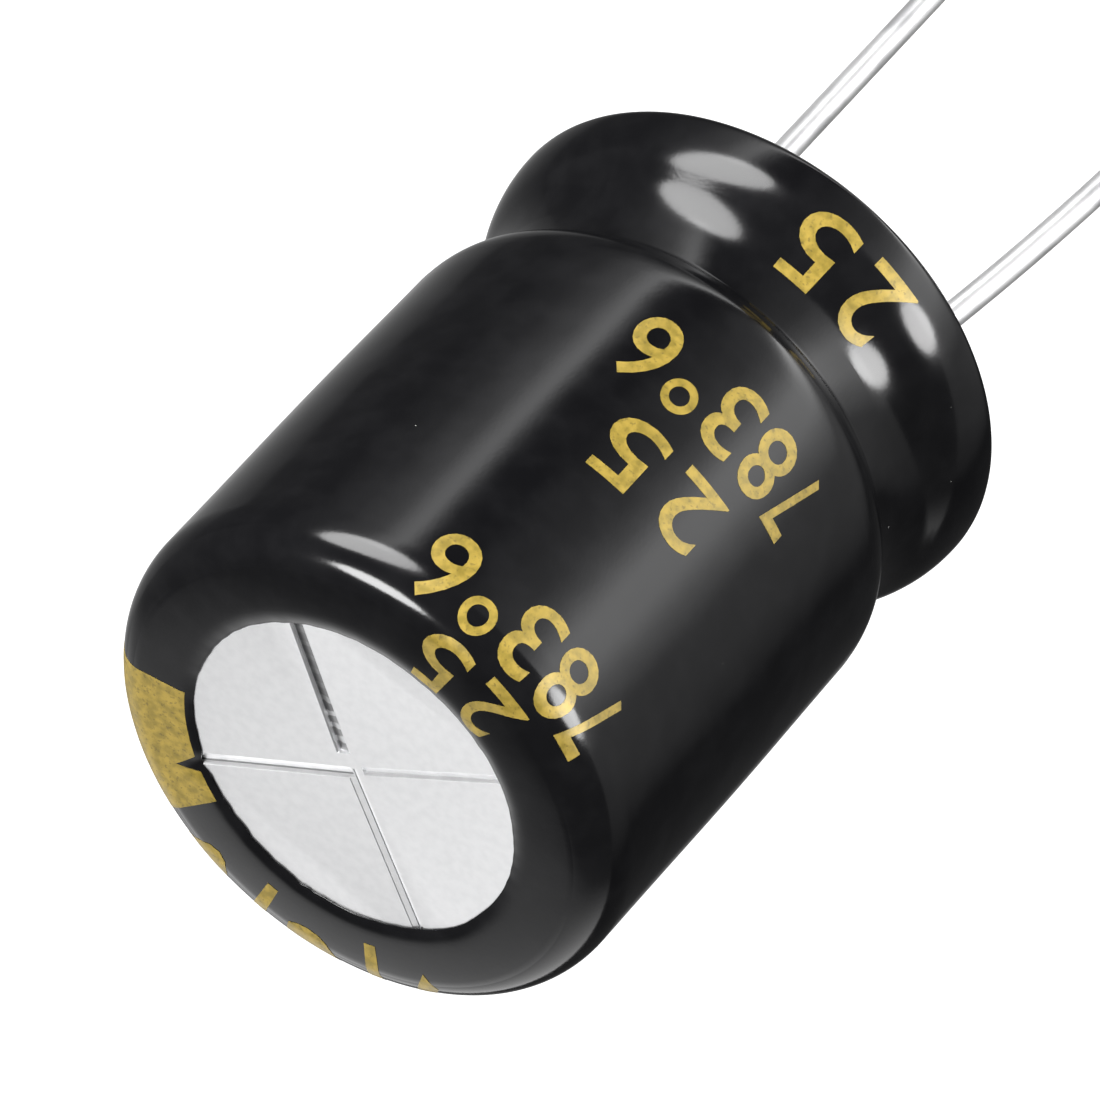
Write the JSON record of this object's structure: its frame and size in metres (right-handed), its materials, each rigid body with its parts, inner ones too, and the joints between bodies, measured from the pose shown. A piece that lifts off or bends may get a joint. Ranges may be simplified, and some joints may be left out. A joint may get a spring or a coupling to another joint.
{
  "type": "electrolytic capacitor",
  "caption": "Radial aluminium electrolytic capacitor in a black shrink sleeve, with a cross-scored vent end, a bead groove, a curled rim and two round leads, one splayed.",
  "frame": {"origin": "centre of the seating plane, the flat ring under the rim that rests on the board", "axes": "+Z along the can's axis towards the vent end, leads towards -Z, +X from the cathode lead towards the anode lead"},
  "size_m": [0.0166, 0.0166, 0.0469],
  "materials": {
    "sleeve": "glossy",
    "can": "satin",
    "seal": "matt",
    "lead": "bright tinned",
    "tab": "satin",
    "winding": "matt",
    "winding_tape": "satin"
  },
  "bodies": {
    "root": {"sleeve": "sleeve", "can": "can", "seal": "seal", "anode_lead": "lead", "cathode_lead": "lead", "anode_tab": "tab", "cathode_tab": "tab", "winding": "winding", "winding_tape": "winding_tape"}
  },
  "joints": []
}
